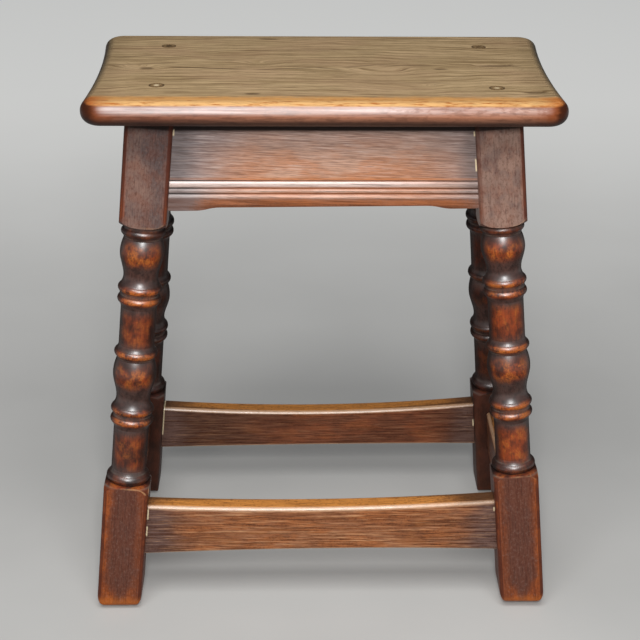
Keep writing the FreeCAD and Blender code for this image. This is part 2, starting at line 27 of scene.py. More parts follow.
class Layer:
    """One socket of a finish's nodes. Sums written on it add the nodes that work them out."""

    def __init__(self, tree, socket):
        self.tree = tree
        self.socket = socket

    def node(self, kind, settings, inputs, output=0):
        """Adds a node: its settings first, then the values or layers of its sockets."""
        made = self.tree.nodes.new("ShaderNode" + kind)
        for name, value in settings.items():
            setattr(made, name, value)
        for name, value in inputs.items():
            if isinstance(value, Layer):
                self.tree.links.new(value.socket, made.inputs[name])
            else:
                made.inputs[name].default_value = value
        return Layer(self.tree, made.outputs[output])

    def maths(self, operation, *values):
        return self.node("Math", {"operation": operation}, dict(enumerate(values)))

    def __add__(self, other):
        return self.maths("ADD", self, other)

    __radd__ = __add__

    def __sub__(self, other):
        return self.maths("SUBTRACT", self, other)

    def __rsub__(self, other):
        return self.maths("SUBTRACT", other, self)

    def __mul__(self, other):
        return self.maths("MULTIPLY", self, other)

    __rmul__ = __mul__

    def __truediv__(self, other):
        return self.maths("DIVIDE", self, other)

    def __pow__(self, other):
        return self.maths("POWER", self, other)

    def size(self):
        return self.maths("ABSOLUTE", self)

    def most(self, other):
        return self.maths("MAXIMUM", self, other)

    def least(self, other):
        return self.maths("MINIMUM", self, other)

    def rise(self, low, high):
        """Goes smoothly from 0 at low to 1 at high."""
        settings = {"interpolation_type": "SMOOTHSTEP"}
        return self.node("MapRange", settings, {0: self, 1: low, 2: high})

    def fading(self):
        """1 at 0, dying away smoothly as the number grows."""
        return self.maths("EXPONENT", 0 - self)

    def near(self, place, core, reach):
        """1 within core of a place, 0 beyond reach."""
        return (self - place).size().rise(reach, core)

    def spread(self, scales):
        """The same coordinates, each direction scaled by its own amount."""
        return self.node("VectorMath", {"operation": "MULTIPLY"}, {0: self, 1: scales})

    def length(self):
        """The length of a vector."""
        return self.node("VectorMath", {"operation": "LENGTH"}, {0: self}, "Value")

    def seen_from(self, seat, lean=(0, 0, 0)):
        """The same coordinates, measured from a place and along axes that lean."""
        inputs = {"Vector": self, "Location": seat, "Rotation": lean}
        return self.node("Mapping", {"vector_type": "TEXTURE"}, inputs)

    def parts(self):
        """The three numbers of a vector."""
        return [self.node("SeparateXYZ", {}, {0: self}, axis) for axis in range(3)]

    def cloud(self, scales, detail=2.0, roughness=0.5, shift=0.0):
        """Soft random blotches, from 0 to 1, or streaks where one direction's scale is small."""
        moves = {0: self.spread(scales), 1: (shift,) * 3}
        moved = self.node("VectorMath", {"operation": "ADD"}, moves)
        inputs = {"Vector": moved, "Scale": 1.0, "Detail": detail, "Roughness": roughness}
        return self.node("TexNoise", {}, inputs)

    def over(self, under, colour):
        """Lays a colour over another one where this layer is 1."""
        return self.node("Mix", {"data_type": "RGBA"}, {0: self, 6: under, 7: colour}, 2)


def paint(red, green, blue):
    """A colour given as a screen shows it, from 0 to 255."""
    levels = [level / 255 for level in (red, green, blue)]
    return [
        level / 12.92 if level <= 0.04045 else ((level + 0.055) / 1.055) ** 2.4
        for level in levels
    ] + [1]


def begin_finish(name):
    """A new material, its shader, and its Object coordinates in millimetres."""
    material = bpy.data.materials.new(name)
    material.use_nodes = True
    tree = material.node_tree
    shader = tree.nodes["Principled BSDF"]
    place = Layer(tree, None).node("TexCoord", {}, {}, "Object").spread((1000, 1000, 1000))
    return material, shader, place


def facing_of(place):
    """The way the surface faces, as three numbers."""
    return place.node("TexCoord", {}, {}, "Normal").parts()


def upward_of(place):
    """How far up the surface faces: 1 on top, 0 on an upright face, -1 underneath."""
    return facing_of(place)[2]


SPECULAR_LEVEL = 0.18


def end_finish(shader, colour, roughness, height, depth_mm, wax=None, gloss=(0.38, 2.0)):
    """Joins a finish's layers to its shader.

    wax says where polish lies, on what faces up to the duster. gloss is how rough and how bright
    that polish is.
    """
    tree = colour.tree
    tree.links.new(colour.socket, shader.inputs["Base Color"])
    tree.links.new(roughness.socket, shader.inputs["Roughness"])
    shader.inputs["Specular IOR Level"].default_value = SPECULAR_LEVEL
    if wax:
        polish = wax * upward_of(colour).rise(-0.05, 0.35)
        tree.links.new(polish.socket, shader.inputs["Coat Weight"])
        shader.inputs["Coat Roughness"].default_value = gloss[0]
        shader.inputs["Coat IOR"].default_value = gloss[1]
    bump = colour.node("Bump", {}, {"Height": height, "Strength": 1.0, "Distance": depth_mm / 1000})
    tree.links.new(bump.socket, shader.inputs["Normal"])


def put_on(material, node):
    """Gives a piece of the frame its finish."""
    mesh = nodes[node].data
    mesh.materials.clear()
    mesh.materials.append(material)


# The lean of the legs, the middle of a leg's head, and half the diagonal of its blocks. Lengths are
# in millimetres, as in all finishes.
SPLAY_DEGREES = 5.4
HEAD_X, HEAD_Y, SEAT_UNDERSIDE = 141.3, 55.0, 453.0
BLOCK_CORNER = 28.0
# The shoulder between a block and the turned work: its radius, its drop and its sweep.
SHOULDER_RADIUS, SHOULDER_DROP, SHOULDER_SWEEP = 22.5, 1.6, 7.9

OAK_DARK = paint(34, 20, 16)
OAK_BROWN = paint(86, 40, 26)
OAK_SMOKE_AND_SHEEN = paint(84, 62, 56)
OAK_RED = paint(152, 66, 26)
OAK_WORN = paint(212, 118, 46)
OAK_BARE = paint(206, 158, 112)
BLOCK_DULL = paint(136, 106, 94)
BLOCK_ASH = paint(92, 78, 76)
BLOCK_PALE = paint(176, 142, 124)
BLOCK_RED = paint(122, 68, 46)
BLOCK_RUST = paint(150, 76, 38)
BLOCK_ORANGE = paint(186, 98, 42)
BLOCK_PLUM = paint(92, 62, 54)
WAX_DUST = paint(128, 118, 108)
BACK_LEG_SHADE = paint(44, 36, 32)

# Depths of the turned members below the seat for a leg marked out as drawn, and how much higher the
# groups of members sit on each leg: head, neck, upper rings, single ring, lower rings and collar.
HEAD_SHOULDER, NECK_BEAD, COLLAR, FOOT_SHOULDER = 97.6, 104.5, 331.0, 335.1
RINGS = (155.5, 161.8, 212.7, 267.3, 274.0)
GROOVES = (99.0, 108.3, 159.0, 217.2, 270.8, 325.5, 336.6)
COLUMNS = ((170.5, 206.5), (283.0, 323.0))
SLIPS = {
    "front_left": (0.0, 0.0, 0.0, 0.0, 0.0, 0.0),
    "front_right": (1.8, 5.0, 7.5, 6.8, 6.6, 11.2),
    "back_left": (4.5, 6.0, 6.8, 4.5, 4.1, 1.5),
    "back_right": (10.5, 13.1, 13.9, 11.2, 7.1, 5.5),
}


def leg_finish(corner, side_x, side_y, seed, wear):
    """Dark waxed oak that follows one leg's own axis. wear is 1 for a leg that hands and feet reach;
    low, it also paints the blocks dark as a back leg's shade.
    """
    material, shader, place = begin_finish("waxed_oak_leg_" + corner)
    head, neck, upper, single, lower, collar = SLIPS[corner]
    lean = (math.radians(side_y * SPLAY_DEGREES), math.radians(-side_x * SPLAY_DEGREES), 0)
    seat = (side_x * HEAD_X, side_y * HEAD_Y, SEAT_UNDERSIDE)
    own = place.seen_from(seat, lean)
    across_u, across_v, up = own.parts()
    depth = 0 - up
    outward = across_u * side_x
    radius = own.spread((1, 1, 0)).length()
    widest = across_u.size().most(across_v.size())
    diagonal = across_u.size() + across_v.size()

    mottle = own.cloud((0.085, 0.085, 0.06), 4, 0.6, seed)
    blotch = own.cloud((0.032, 0.032, 0.02), 3, 0.55, seed + 3)
    patch = own.cloud((0.11, 0.11, 0.085), 3, 0.55, seed + 17)
    streak = own.cloud((0.42, 0.42, 0.014), 4, 0.6, seed + 7)
    fine = own.cloud((1.3, 1.3, 0.05), 3, 0.6, seed + 23)
    pore = own.cloud((2.4, 2.4, 0.1), 2, 0.5, seed + 11)
    fleck = own.cloud((0.5, 0.5, 0.34), 3, 0.65, seed + 5)

    turned = depth.rise(96.5 - head, 98.5 - head) * depth.rise(338.5 - collar, 336.5 - collar)
    square = depth.rise(94 - head, 88 - head) + depth.rise(341 - collar, 347 - collar)
    foot_block = depth.rise(250, 300)
    facing = across_v.size() / radius.most(1)
    crest = radius.rise(16.0, 19.5)
    ring = 0
    for crown, slip in zip(RINGS, (upper, upper, single, lower, lower)):
        ring = ring + depth.near(crown - slip, 1.8, 3.4)
    hem = depth.near(NECK_BEAD - neck, 2.6, 4.0) + depth.near(COLLAR - collar, 2.6, 4.4)
    column = 0
    for (start, end), slip in zip(COLUMNS, (upper, lower)):
        opening = depth.rise(start - slip, start - slip + 11)
        column = column + opening * depth.rise(end - slip + 2, end - slip - 9)
    proud = crest * (1 - 0.8 * hem) + ring * radius.rise(17, 19)
    worn = proud.most(column * (0.75 + 0.2 * side_x)).least(1)
    rubbed_and_lit = worn * turned * wear * (0.15 + 0.85 * facing.rise(0.35, 0.95))

    # Dark old wax first, then the wood that rubbing has brought back. It is kept to the front and
    # back of the turned work, which partly paints the light falling on the front.
    colour = mottle.rise(0.34, 0.66).over(OAK_DARK, OAK_BROWN)
    # Grey over the hollows of the turned work: partly old wax, partly painted sheen.
    colour = (turned * (1 - crest) * (1 - column) * (0.4 + 0.6 * blotch)).over(colour, OAK_SMOKE_AND_SHEEN)
    colour = (rubbed_and_lit * (0.35 + 0.65 * mottle.rise(0.36, 0.56))).over(colour, OAK_RED)
    spot = patch.rise(0.46, 0.6) * (0.15 + 0.85 * fleck.rise(0.44, 0.56))
    colour = (rubbed_and_lit * spot * (1 - 0.4 * column)).over(colour, OAK_WORN)
    colour = (rubbed_and_lit * ring.least(1) * fleck.rise(0.58, 0.44) * 0.5).over(colour, OAK_WORN)
    kept_dark = 0.5 - (0.2 + 0.15 * side_x) * column
    colour = (turned * patch.rise(0.5, 0.36) * kept_dark).over(colour, OAK_DARK)
    colour = (turned * fleck.rise(0.5, 0.62) * (0.5 - 0.2 * column)).over(colour, OAK_DARK)
    colour = (turned * fine.rise(0.5, 0.68) * 0.35).over(colour, OAK_DARK)

    # The square blocks, dull and ashy at the head and redder at the foot.
    # On the back legs little of the block colours is laid on, leaving their blocks dark as painted
    # shade.
    face = (1 - turned) * (0.12 + 0.88 * wear)
    dull = blotch.rise(0.35, 0.65).over(BLOCK_DULL, BLOCK_ASH)
    colour = (face * 0.95 * (1 - foot_block)).over(colour, dull)
    colour = (face * (1 - foot_block) * (0.2 + 0.2 * side_x)).over(colour, BLOCK_PALE)
    colour = (face * foot_block * 0.95).over(colour, BLOCK_RED)
    colour = (face * patch.rise(0.42, 0.62) * (0.3 + 0.2 * foot_block)).over(colour, BLOCK_RED)
    colour = (face * mottle.rise(0.48, 0.66) * (0.5 - 0.3 * foot_block)).over(colour, BLOCK_ASH)
    # Feet and brooms rub a foot block rusty along its margins and leave old wax in the middle.
    margin = diagonal - widest + 9 * (patch - 0.5) + 7 * (blotch - 0.5) + 10 * depth.rise(425, 448)
    outer = outward.rise(-20, 6)
    inside = margin.rise(13.5, 7.5)
    foot_face = face * foot_block
    colour = (foot_face * inside * (0.35 + 0.4 * blotch)).over(colour, BLOCK_PLUM)
    colour = (foot_face * margin.rise(11, 18) * (0.3 + 0.6 * outer)).over(colour, BLOCK_RUST)
    rusty = foot_face * margin.rise(13, 18) * outer * mottle.rise(0.42, 0.58)
    colour = (rusty * 0.7).over(colour, BLOCK_ORANGE)
    colour = (face * streak.rise(0.5, 0.66) * (0.1 + 0.3 * foot_block)).over(colour, OAK_BROWN)
    colour = (face * fleck.rise(0.5, 0.64) * 0.4).over(colour, OAK_BROWN)
    colour = (face * fleck.rise(0.46, 0.34) * 0.35).over(colour, BLOCK_DULL)
    colour = (face * fine.rise(0.54, 0.7) * (0.1 + 0.25 * foot_block)).over(colour, OAK_DARK)
    # The tops of the blocks just under the seat painted dark: the seat's shadow.
    colour = (face * depth.rise(13.0, 11.4) * 0.85).over(colour, OAK_DARK)

    # The pommels, and the arrises of the blocks: rubbed wood on both sides of a dark line of painted
    # shade where the rounded arris turns from the light. The inner arrises get less of the rubbed
    # colour, partly as painted shade.
    pommel = (1 - turned) * (1 - square)
    colour = (pommel * widest.rise(19.75, 19.4) * 0.7).over(colour, OAK_BROWN)
    inner = outward.rise(3, -3)
    arris = square * wear * (1 - 0.65 * inner)
    low_down = depth.rise(30, 92) * (1 - foot_block) + foot_block * depth.rise(470, 345)
    rubbed_side = 0.1 + 0.5 * mottle.rise(0.4, 0.62) * low_down
    colour = (arris * diagonal.rise(34.0, 36.2) * rubbed_side).over(colour, BLOCK_RUST)
    arris_shade = 0.85 - (0.25 + 0.25 * side_x) * inner * (1 - foot_block)
    colour = (square * wear * diagonal.rise(35.9, 36.6) * arris_shade).over(colour, OAK_BROWN)
    rubbed_edge = mottle.rise(0.42, 0.58) * low_down * (0.35 + 0.25 * foot_block)
    colour = (square * wear * diagonal.rise(36.6, 37.1) * rubbed_edge).over(colour, BLOCK_RUST)
    ending = (depth + 6 * (mottle - 0.5)).rise(443, 452) * wear
    colour = (ending * 0.45).over(colour, OAK_WORN)

    # A bare line along the edges of the shoulders, and dust in the quirks.
    shoulder = 0
    for centre, way in ((HEAD_SHOULDER - head, 1), (FOOT_SHOULDER - collar, -1)):
        out = (radius - SHOULDER_RADIUS) / (BLOCK_CORNER - SHOULDER_RADIUS)
        edge = centre - way * SHOULDER_DROP - way * SHOULDER_SWEEP * out.most(0) ** 1.6
        strength = 0.25 if way > 0 else 0.8
        shoulder = shoulder + strength * (depth - edge).size().rise(1.0, 0.4) * widest.rise(19.0, 19.5)
    bare = shoulder * blotch.rise(0.4, 0.54) * across_u.rise(-8, 4)
    colour = (bare * 0.6 * wear).over(colour, OAK_BARE)
    dust = 0
    for groove, slip in zip(GROOVES, (head, neck, upper, single, lower, collar, collar)):
        dust = dust + depth.near(groove - slip + 0.3, 0.1, 0.75)
    colour = (dust * turned * (0.12 + 0.5 * facing.rise(1.0, 0.5))).over(colour, WAX_DUST)
    # The sides of the turned work, turned away from the front, painted darker as shade.
    colour = (turned * facing.rise(0.8, 0.2) * 0.8).over(colour, OAK_DARK)
    colour = (pore.rise(0.57, 0.67) * 0.35).over(colour, OAK_DARK)
    # The blocks of the back legs painted greyer and darker, as the shade they stand in.
    colour = ((1 - turned) * ((1 - wear) * 0.5)).over(colour, BACK_LEG_SHADE)

    roughness = 0.37 + 0.12 * (1 - turned) + 0.16 * (mottle - 0.5) + 0.15 * dust
    roughness = roughness + 0.35 * turned * facing.rise(0.6, 0.1)
    height = streak * 0.4 - pore.rise(0.54, 0.66) * 0.35 + mottle * 0.7
    height = height + fleck * 0.35 + fine * (0.3 - 0.2 * turned)
    wax = turned * (1 - 0.5 * dust.least(1)) * (1 - 0.5 * column) * facing.rise(0.25, 0.8)
    end_finish(shader, colour, roughness, height, 0.16, wax)
    return material


# Each leg's side, its own draw of the grain, and how worn it is, which for the back legs also sets
# their painted shade.
LEG_PLACES = {
    "front_left": (-1, -1, 0, 1.0),
    "front_right": (1, -1, 31, 1.0),
    "back_left": (-1, 1, 57, 0.1),
    "back_right": (1, 1, 83, 0.2),
}
for corner, (side_x, side_y, seed, wear) in LEG_PLACES.items():
    put_on(leg_finish(corner, side_x, side_y, seed, wear), "leg_" + corner)


# Aprons
# Four oak boards tenoned into the heads of the legs, with a run moulding of two reeds and an ovolo
# along the face and an S-sweep at each end of the lower edge. Same dark wax, worn orange along the
# lower edge.

APRON_PINK_SHEEN = paint(208, 162, 136)
APRON_ASH = paint(160, 150, 150)
APRON_DARK = paint(96, 66, 56)
APRON_END_SHADE = paint(98, 88, 86)
APRON_WORN = paint(200, 126, 78)
PINK_GRAIN_AND_HIGHLIGHT = paint(222, 198, 188)
BAND_WORN = paint(166, 96, 52)
SHOULDER_WOOD = paint(226, 206, 170)
STAIN = paint(74, 38, 22)
# Heights of the moulding's quirks above the floor.
MOULDING_LINES = (387.3, 391.9, 398.4)
# Half the width of a leg's blocks, and how far a leg runs outwards for each millimetre down.
HALF_BLOCK, SPLAY_SLOPE = 19.8, 0.0945


def rail_streaks(place, along, seed):
    """The grain of one rail: broad streaks, fine streaks, pores, blotches and specks."""

    def stretch(lengthwise, across):
        return (across, lengthwise, across) if along else (lengthwise, across, across)

    return (
        place.cloud(stretch(0.018, 0.62), 4, 0.66, seed),
        place.cloud(stretch(0.04, 1.3), 3, 0.66, seed + 4),
        place.cloud(stretch(0.08, 2.4), 2, 0.5, seed + 9),
        place.cloud(stretch(0.018, 0.05), 3, 0.6, seed + 14),
        place.cloud((0.5, 0.5, 0.5), 3, 0.6, seed + 2),
    )


def arris_of(place):
    """1 on the rounded arrises of a squared rail, where the surface faces between two sides."""
    in_x, in_y, in_z = [part.size() for part in facing_of(place)]
    rounded = (in_x * in_y).most(in_y * in_z).most(in_x * in_z)
    return rounded.rise(0.15, 0.42)


def sprung_shoulder(run, z, head, chips):
    """Bare wood in the places where a rail's shoulder has chipped beside its leg."""
    gap = head - HALF_BLOCK - 0.1 + SPLAY_SLOPE * (SEAT_UNDERSIDE - z) - run.size()
    soft = 0.8
    bare = 0
    for side, low, high in chips:
        above_low = (run * side).rise(0, 1) * z.rise(low - soft, low + soft)
        bare = bare + above_low * z.rise(high + soft, high - soft)
    return bare * gap.rise(1.5, 0.9)


def apron_finish(name, along, seed, head, half_length, chips, sheen=None):
    """The finish of one apron.

    along is 0 where it runs left to right and 1 where it runs front to back. head is how far the
    legs' heads stand from the middle. chips are the chipped places: their side and their heights.
    sheen says between which places along it the polish of the reeds comes up, and the top reed is
    painted paler there as a highlight.
    """
    material, shader, place = begin_finish("waxed_oak_" + name)
    x, y, z = place.parts()
    run = y if along else x
    tilt = (0, math.radians(-2), 0)
    sloping = place.node("Mapping", {}, {"Vector": place, "Rotation": tilt})
    streak, fine, pore, blotch, speck = rail_streaks(sloping, along, seed)
    reach = (run - 0.08 * half_length).size() / half_length + 0.3 * (blotch - 0.5)
    arris = arris_of(place)
    lowness = z.rise(446, 406)
    middle = reach.rise(0.92, 0.4)

    colour = (streak.rise(0.36, 0.64) * 0.4).over(APRON_ASH, APRON_DARK)
    # The middle of the face painted pale pink, more so low down: partly its own colour, partly a
    # painted sheen.
    colour = (middle * (0.45 + 0.55 * lowness)).over(colour, APRON_PINK_SHEEN)
    colour = (middle * lowness * blotch.rise(0.4, 0.56) * 0.6).over(colour, APRON_WORN)
    colour = (streak.rise(0.52, 0.62) * 0.15).over(colour, APRON_DARK)
    colour = (fine.rise(0.5, 0.6) * 0.42).over(colour, APRON_DARK)
    colour = (fine.rise(0.47, 0.37) * 0.4).over(colour, PINK_GRAIN_AND_HIGHLIGHT)
    # Greyer and darker towards the legs, and a little on the right: painted shade.
    near_leg_shade = (run.size() / half_length + 0.1 * (blotch - 0.5)).rise(0.68, 0.84)
    colour = (near_leg_shade.most(run.rise(10, 120) * 0.35) * 0.6).over(colour, APRON_END_SHADE)
    # A dark band just under the seat: painted shadow of the seat's overhang.
    colour = (z.rise(439.4, 441.2) * 0.95).over(colour, OAK_DARK)
    colour = (z.near(400.2, 0.3, 1.6) * (0.2 + 0.5 * middle)).over(colour, APRON_WORN)

    # The moulding and the band below it, worn brown and stained.
    quirks = 0
    for line in MOULDING_LINES:
        quirks = quirks + z.near(line, 0.3, 1.1)
    moulding = z.rise(399.5, 398)
    top_reed = moulding * z.rise(391.4, 392.6)
    # The reeds painted pale, the top reed paler where its polish shines: pale worn wood and a painted
    # highlight.
    bright = run.rise(*sheen) if sheen else middle
    colour = (moulding * (0.2 + 0.7 * top_reed * bright)).over(colour, PINK_GRAIN_AND_HIGHLIGHT)
    colour = (moulding * streak.rise(0.5, 0.62) * 0.45).over(colour, APRON_DARK)
    band = z.rise(384.6, 383.2)
    colour = (band * (0.5 + 0.3 * blotch)).over(colour, APRON_DARK)
    lower = (z + 3 * (speck - 0.5)).rise(385, 381) * (reach + 0.1 * (speck - 0.5)).rise(0.86, 0.66)
    colour = (lower * (0.6 + 0.4 * blotch)).over(colour, BAND_WORN)
    colour = (lower * streak.rise(0.46, 0.62) * 0.5).over(colour, STAIN)
    colour = (lower * (z + 2 * (speck - 0.5)).rise(379.4, 377.4) * 0.55).over(colour, STAIN)
    colour = (quirks * 0.85).over(colour, OAK_DARK)
    colour = (arris * 0.4 * middle).over(colour, OAK_WORN)
    colour = (pore.rise(0.56, 0.67) * 0.35).over(colour, OAK_DARK)
    colour = sprung_shoulder(run, z, head, chips).over(colour, SHOULDER_WOOD)

    roughness = 0.46 + 0.2 * (blotch - 0.5) - 0.08 * moulding
    height = fine * 0.5 + streak * 0.4 - pore.rise(0.54, 0.66) * 0.4
    wax = moulding * (1 - band) * (0.3 + 0.7 * top_reed) * (0.3 + 0.7 * bright)
    end_finish(shader, colour, roughness, height, 0.16, wax)
    return material


FRONT_APRON_CHIPS = ((1, 436.3, 440.0), (1, 407.0, 417.2), (-1, 436.1, 441.1))
# Each apron's direction, its own draw of the grain, its legs' heads, half its length, its chips and
# where its reeds shine.
APRONS = {
    "apron_front": (0, 110, HEAD_X, 146, FRONT_APRON_CHIPS, (128, 40)),
    "apron_back": (0, 140, HEAD_X, 146, ()),
    "apron_left": (1, 170, HEAD_Y, 60, ()),
    "apron_right": (1, 200, HEAD_Y, 60, ()),
}
for name, details in APRONS.items():
    put_on(apron_finish(name, *details), name)


# Stretchers
# Four oak rails tenoned into the foot blocks. Feet rested on them have worn their tops hollow and
# bright, brightest in the middle, and rubbed the front one's face back to brown.

STRETCHER_BROWN = paint(170, 104, 62)
STRETCHER_TAN = paint(206, 154, 112)
STRETCHER_DULL = paint(116, 90, 82)
STRETCHER_DARK = paint(70, 44, 34)
FACE_ORANGE = paint(190, 118, 66)
STRETCHER_RED = paint(150, 84, 54)
TOP_YELLOW = paint(220, 146, 72)
ARRIS_PALE_AND_HIGHLIGHT = paint(220, 176, 138)
TOP_SPECK = paint(120, 66, 28)
TOP_GRIME = paint(70, 48, 34)
# How much further out than the legs' heads the stretchers' outer faces stand.
STRETCHER_FACE = 44.3


def stretcher_finish(name, along, seed, head, half_length, wear, chips):
    """The finish of one stretcher, as an apron's. wear is 1 for the front one, which feet reach."""
    material, shader, place = begin_finish("waxed_oak_" + name)
    x, y, z = place.parts()
    run = y if along else x
    streak, fine, pore, blotch, speck = rail_streaks(place, along, seed)
    reach = run.size() / half_length + 0.3 * (blotch - 0.5)
    middle = reach.rise(0.9, 0.6)
    upward = upward_of(place)
    arris = arris_of(place)

    colour = streak.rise(0.42, 0.62).over(STRETCHER_DULL, STRETCHER_DARK)
    colour = (middle * wear * (0.5 + 0.5 * blotch.rise(0.6, 0.42))).over(colour, STRETCHER_BROWN)
    colour = (middle * wear * streak.rise(0.46, 0.37) * 0.75).over(colour, STRETCHER_TAN)
    colour = ((1 - wear) * (0.8 + 0.4 * streak)).over(colour, STRETCHER_DARK)
    reddened = (1 - wear) * middle * run.rise(-110, 0) * (0.6 + 0.9 * blotch.rise(0.4, 0.6))
    colour = reddened.over(colour, STRETCHER_RED)
    by_leg = (run.size() / half_length + 0.12 * (blotch - 0.5)).rise(0.74, 0.86)
    colour = (by_leg * 0.75).over(colour, STRETCHER_DULL)
    colour = (streak.rise(0.53, 0.6) * 0.5).over(colour, STAIN)
    colour = (fine.rise(0.52, 0.58) * 0.5).over(colour, STAIN)
    colour = (speck.rise(0.5, 0.6) * streak.rise(0.45, 0.55) * 0.4).over(colour, STAIN)
    colour = (middle * wear * blotch.rise(0.5, 0.64) * 0.35).over(colour, FACE_ORANGE)
    colour = (fine.rise(0.44, 0.34) * (0.1 + 0.4 * wear)).over(colour, STRETCHER_TAN)

    # The trodden top, with grime along its inner side and on the ends.
    trodden = upward.rise(0.35, 0.8)
    inset = (HEAD_X if along else HEAD_Y) + STRETCHER_FACE - (x if along else y).size()
    grime = (inset + 9 * reach + 4 * (speck - 0.5)).rise(16, 21)
    off_middle = (run + 0.1 * half_length * (2 * wear - 1)).size() / half_length
    top = (off_middle + 0.2 * (blotch - 0.5) + 0.12 * (speck - 0.5)).rise(0.92, 0.64)
    colour = (trodden * (0.35 + 0.65 * top)).over(colour, TOP_YELLOW)
    colour = (trodden * fine.rise(0.48, 0.62) * 0.45).over(colour, TOP_SPECK)
    colour = (trodden * streak.rise(0.54, 0.64) * 0.35).over(colour, TOP_SPECK)
    colour = (trodden * speck.rise(0.56, 0.66) * 0.6).over(colour, TOP_SPECK)
    colour = (trodden * (1 - top).most(grime) * 0.75).over(colour, TOP_GRIME)
    # The arrises painted pale, most in the trodden middle: partly worn wood, partly a painted
    # highlight.
    colour = (arris * (0.42 + 0.4 * top)).over(colour, ARRIS_PALE_AND_HIGHLIGHT)
    colour = (pore.rise(0.56, 0.67) * 0.5).over(colour, OAK_DARK)
    colour = sprung_shoulder(run, z, head, chips).over(colour, SHOULDER_WOOD)

    roughness = 0.4 + 0.2 * (blotch - 0.5) - 0.12 * arris - 0.08 * trodden
    height = fine * 0.5 + streak * 0.4 - pore.rise(0.54, 0.66) * 0.4
    wax = arris * (0.3 + 0.45 * run.rise(130, 40))
    end_finish(shader, colour, roughness, height * (1 - 0.6 * arris), 0.16, wax)
    return material


FRONT_STRETCHER_CHIPS = ((-1, 69.6, 79.0), (-1, 86.0, 96.0), (1, 93.8, 97.6))
BACK_STRETCHER_CHIPS = ((-1, 68.0, 101.0), (1, 78.0, 86.0))
STRETCHERS = {
    "stretcher_front": (0, 230, HEAD_X, 172, 1.0, FRONT_STRETCHER_CHIPS),
    "stretcher_back": (0, 260, HEAD_X, 172, 0.4, BACK_STRETCHER_CHIPS),
    "stretcher_left": (1, 290, HEAD_Y, 92, 0.5, ()),
    "stretcher_right": (1, 320, HEAD_Y, 92, 0.5, ()),
}
for name, details in STRETCHERS.items():
    put_on(stretcher_finish(name, *details), name)


# Seat board
# One oak board, pegged down to the legs, with a bullnose all round and slightly hollow ends. The
# top is scrubbed and faded to an olive tan, the front arris is worn to honey, and the nose below
# keeps its old red-brown wax.

SEAT_TAN = paint(164, 138, 100)
SEAT_PALE = paint(196, 168, 128)
SEAT_PINK = paint(182, 148, 116)
SEAT_MARK = paint(84, 62, 38)
SEAT_LINE = paint(112, 86, 52)
SEAT_GRIME = paint(98, 82, 52)
SEAT_HONEY = paint(212, 156, 92)
HONEY_PALE = paint(238, 198, 140)
SEAT_FLECK = paint(170, 94, 34)
SEAT_NOSE = paint(158, 104, 80)
SEAT_NOSE_RED = paint(118, 68, 50)
NOSE_ROSE_SHEEN = paint(182, 124, 94)
SEAT_NOSE_DARK = paint(66, 38, 28)
SEAT_END = paint(186, 104, 42)
SEAT_CORNER = paint(130, 64, 28)
SEAT_END_SHADE = paint(58, 28, 16)
SEAT_RIM_SHADE = paint(74, 66, 50)
# Half the board's length at its middle, how much further its corners reach, and half its width.
END_MIDDLE, END_HOLLOW, HALF_WIDTH = 190.3, 5.5, 107.5

# Places where the grain turns aside: where each is, how far it reaches along and across, and how
# strongly it turns.
TURNS = (
    (-156, -6, 18, 10, 13),
    (-56, 10, 12, 8, 7),
    (52, -16, 24, 11, 10),
    (96, -3, 9, 3, 3),
    (152, 4, 26, 5, 8),
    (171, -73, 10, 5, 5),
    (86, -55, 14, 4, 4),
)
# Dark marks, listed alike: knots, a worm track and grime in the pores.
MARKS = (
    (-148.5, -5.4, 7, 4.4, 0.85),
    (152, 4.7, 22, 3.6, 0.7),
    (171, -72.8, 11, 4.8, 0.7),
    (-57.7, -77.4, 7, 3.2, 0.9),
    (-47.7, 89.5, 10, 3.6, 0.7),
    (99, -6, 7, 2.8, 0.8),
    (-86, 20.3, 17, 1.5, 0.6),
    (40, 44, 14, 1.6, 0.4),
)
# Dark grain lines: the middle of each, half its length, its slope and how dark it is.
GRAIN_LINES = (
    (-98, -4.5, 42, -0.13, 0.75),
    (-30, -5.5, 33, 0.14, 0.65),
    (5, -5, 13, -0.25, 0.6),
    (32, 3, 18, 0.3, 0.6),
    (70, 5, 28, -0.08, 0.55),
    (-160, 32, 22, 0.22, 0.5),
    (-152, 8.5, 34, 0.12, 0.5),
    (-20, 52, 60, 0.02, 0.35),
    (60, -44, 50, -0.03, 0.35),
)

material, shader, place = begin_finish("scrubbed_oak_seat")
x, y, z = place.parts()
sway = place.cloud((0.008, 0.017, 0.02), 3, 0.5, 40)
ring = y + 34 * (sway - 0.5)
speck = place.cloud((0.12, 0.30, 0.30), 3, 0.6, 33)


def around(middle_x, middle_y, reach_x, reach_y):
    """1 at a place on the board, fading out to an oval about it."""
    off_x = (x - middle_x) / reach_x
    off_y = (y - middle_y) / reach_y
    return (off_x * off_x + off_y * off_y).fading()


for middle_x, middle_y, reach_x, reach_y, turn in TURNS:
    ring = ring + turn * around(middle_x, middle_y, reach_x, reach_y)
mark = 0
for middle_x, middle_y, reach_x, reach_y, dark in MARKS:
    spot = around(middle_x, middle_y, reach_x, reach_y) + 0.5 * (speck - 0.5)
    mark = mark + dark * spot.rise(0.25, 0.8)
wander = 5 * (sway - 0.5) + 1.6 * (speck - 0.5)
for middle_x, middle_y, half_length, slope, dark in GRAIN_LINES:
    run = x - middle_x
    off_line = (y + wander - middle_y - slope * run).size()
    mark = mark + dark * run.size().rise(half_length, 0.5 * half_length) * off_line.rise(2.4, 0.7)
follow = place.node("CombineXYZ", {}, {0: x, 1: ring, 2: z})
season = follow.cloud((0.0035, 0.05, 0.02), 2, 0.5, 70)
year = ring.maths("FRACT", ring / 7.5 + 3.2 * (season - 0.5))
latewood = year.rise(0.35, 0.9) * year.rise(1.0, 0.94)
